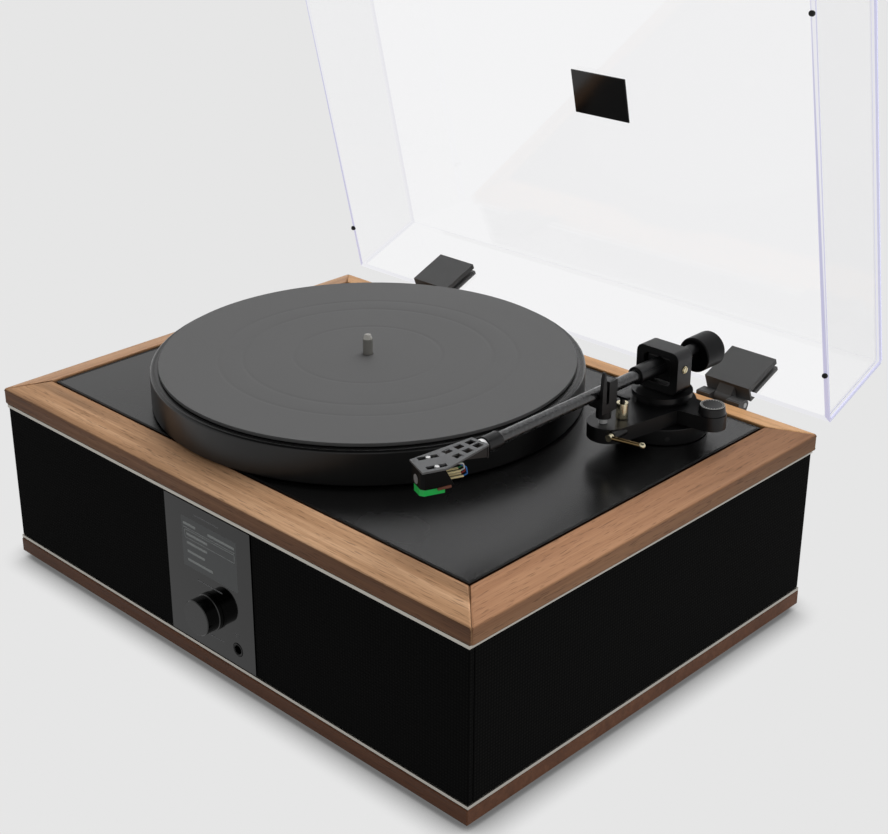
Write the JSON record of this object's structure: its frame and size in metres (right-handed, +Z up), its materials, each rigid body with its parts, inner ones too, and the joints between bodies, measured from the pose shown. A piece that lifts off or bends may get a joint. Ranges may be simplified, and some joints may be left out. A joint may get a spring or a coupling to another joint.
{
  "type": "all-in-one record player",
  "caption": "Record player with built-in speakers: walnut-framed cabinet, belt-driven platter, straight tonearm, screen and knob on the front, clear hinged cover.",
  "frame": {"origin": "centre of the base plate's underside; the rubber feet reach 5 mm below it", "axes": "+Z up, the controls face -Y, +X to the right seen from the front; the cover stands open at rest"},
  "size_m": [0.454, 0.4248, 0.4862],
  "materials": {
    "walnut": "oiled, with open grain",
    "rubber": "matt moulded",
    "trim_aluminium": "brushed",
    "grille_cloth": "fine acoustic weave",
    "fibreboard": "raw",
    "black_board": "matt paint",
    "deck_lacquer": "satin black lacquer",
    "panel_aluminium": "dark anodised",
    "screen": "satin, lit from behind",
    "plain_steel": "machined",
    "gloss_black": "polished",
    "driver_metal": "matt",
    "circuit_board": "solder mask",
    "painted_steel": "powder coat",
    "matt_black": "moulded",
    "brass": "polished",
    "machined_aluminium": "turned",
    "polished_steel": "polished",
    "platter_black": "black satin coat",
    "clear_acrylic": "clear, polished edges",
    "arm_black": "black anodised",
    "carbon_fibre": "woven under lacquer",
    "headshell_grey": "dark satin",
    "stylus_green": "moulded",
    "counterweight_black": "satin"
  },
  "bodies": {
    "cabinet": {"base_plate": "walnut", "front_left_foot": "rubber", "front_right_foot": "rubber", "rear_left_foot": "rubber", "rear_right_foot": "rubber", "lower_trim": "trim_aluminium", "upper_trim": "trim_aluminium", "left_side_panel": "grille_cloth", "right_side_panel": "grille_cloth", "left_front_grille": "grille_cloth", "right_front_grille": "grille_cloth", "front_baffle": "fibreboard", "rear_board": "black_board", "front_rail": "walnut", "rear_rail": "walnut", "left_rail": "walnut", "right_rail": "walnut", "deck_plate": "deck_lacquer", "control_panel": "panel_aluminium", "display_window": "screen", "rotary_encoder": "plain_steel", "headphone_socket": "gloss_black", "left_driver": "driver_metal", "right_driver": "driver_metal", "amplifier_board": "circuit_board", "rear_panel": "painted_steel", "power_inlet": "matt_black", "rear_sockets": "matt_black", "motor": "plain_steel", "drive_belt": "rubber", "platter_bearing": "brass", "left_hinge_bracket": "matt_black", "right_hinge_bracket": "matt_black", "left_hinge_pin": "plain_steel", "right_hinge_pin": "plain_steel", "arm_base": "arm_black", "arm_board": "arm_black", "arm_rest": "arm_black", "lift_cylinder": "polished_steel"},
    "cover": {"dust_cover": "clear_acrylic", "cover_badge": "gloss_black", "left_hinge_clip": "matt_black", "right_hinge_clip": "matt_black"},
    "turntable": {"platter": "platter_black", "platter_mat": "rubber", "spindle": "polished_steel", "sub_platter": "machined_aluminium"},
    "pulley": {"motor_pulley": "brass"},
    "arm_bearing": {"arm_yoke": "arm_black", "pitch_axle": "brass"},
    "tonearm": {"arm_tube": "carbon_fibre", "headshell": "headshell_grey", "cartridge": "matt_black", "stylus": "stylus_green"},
    "balance_weight": {"counterweight": "counterweight_black"},
    "cueing": {"cueing_lever": "brass"},
    "lift": {"lift_plunger": "arm_black"},
    "volume": {"control_knob": "gloss_black"},
    "anti_skate": {"anti_skate_knob": "arm_black"},
    "mains_rocker": {"power_switch": "matt_black"}
  },
  "joints": [
    {"name": "cover_hinge", "type": "hinge", "parent": "cabinet", "child": "cover", "pos_m": [0, 0.1765, 0.129], "axis": [-1, 0, 0], "range_deg": [-76.8, 0]},
    {"name": "platter_spin", "type": "hinge", "parent": "cabinet", "child": "turntable", "pos_m": [-0.03, 0.003, 0.15], "axis": [0, 0, 1], "continuous": true},
    {"name": "pulley_spin", "type": "hinge", "parent": "cabinet", "child": "pulley", "pos_m": [-0.09718, -0.06418, 0.145], "axis": [0, 0, 1], "continuous": true},
    {"name": "tonearm_swing", "type": "hinge", "parent": "cabinet", "child": "arm_bearing", "pos_m": [0.151, 0.097, 0.1636], "axis": [0, 0, -1], "range_deg": [0, 48]},
    {"name": "tonearm_pitch", "type": "hinge", "parent": "arm_bearing", "child": "tonearm", "pos_m": [0.151, 0.097, 0.1808], "axis": [-1, 0, 0], "range_deg": [0, 8]},
    {"name": "counterweight_slide", "type": "slide", "parent": "tonearm", "child": "balance_weight", "axis": [0, 1, 0], "range_m": [-0.003, 0.003]},
    {"name": "cueing_turn", "type": "hinge", "parent": "cabinet", "child": "cueing", "pos_m": [0.1615, 0.0316, 0.1534], "axis": [0, -1, 0], "range_deg": [0, 40]},
    {"name": "lift_rise", "type": "slide", "parent": "cabinet", "child": "lift", "axis": [0, 0, 1], "range_m": [0, 0.004]},
    {"name": "volume_turn", "type": "hinge", "parent": "cabinet", "child": "volume", "pos_m": [0, -0.1677, 0.0437], "axis": [0, 1, 0], "continuous": true},
    {"name": "anti_skate_turn", "type": "hinge", "parent": "cabinet", "child": "anti_skate", "pos_m": [0.19, 0.098, 0.1573], "axis": [0, 0, 1], "range_deg": [0, 270]},
    {"name": "mains_switch", "type": "hinge", "parent": "cabinet", "child": "mains_rocker", "pos_m": [0.068, 0.1628, 0.076], "axis": [-1, 0, 0], "range_deg": [0, 12]}
  ],
  "couplings": [
    {"joint": "pulley_spin", "follows": "platter_spin", "ratio": 8.432},
    {"joint": "cueing_turn", "follows": "lift_rise", "rad_per_m": 174.5}
  ]
}
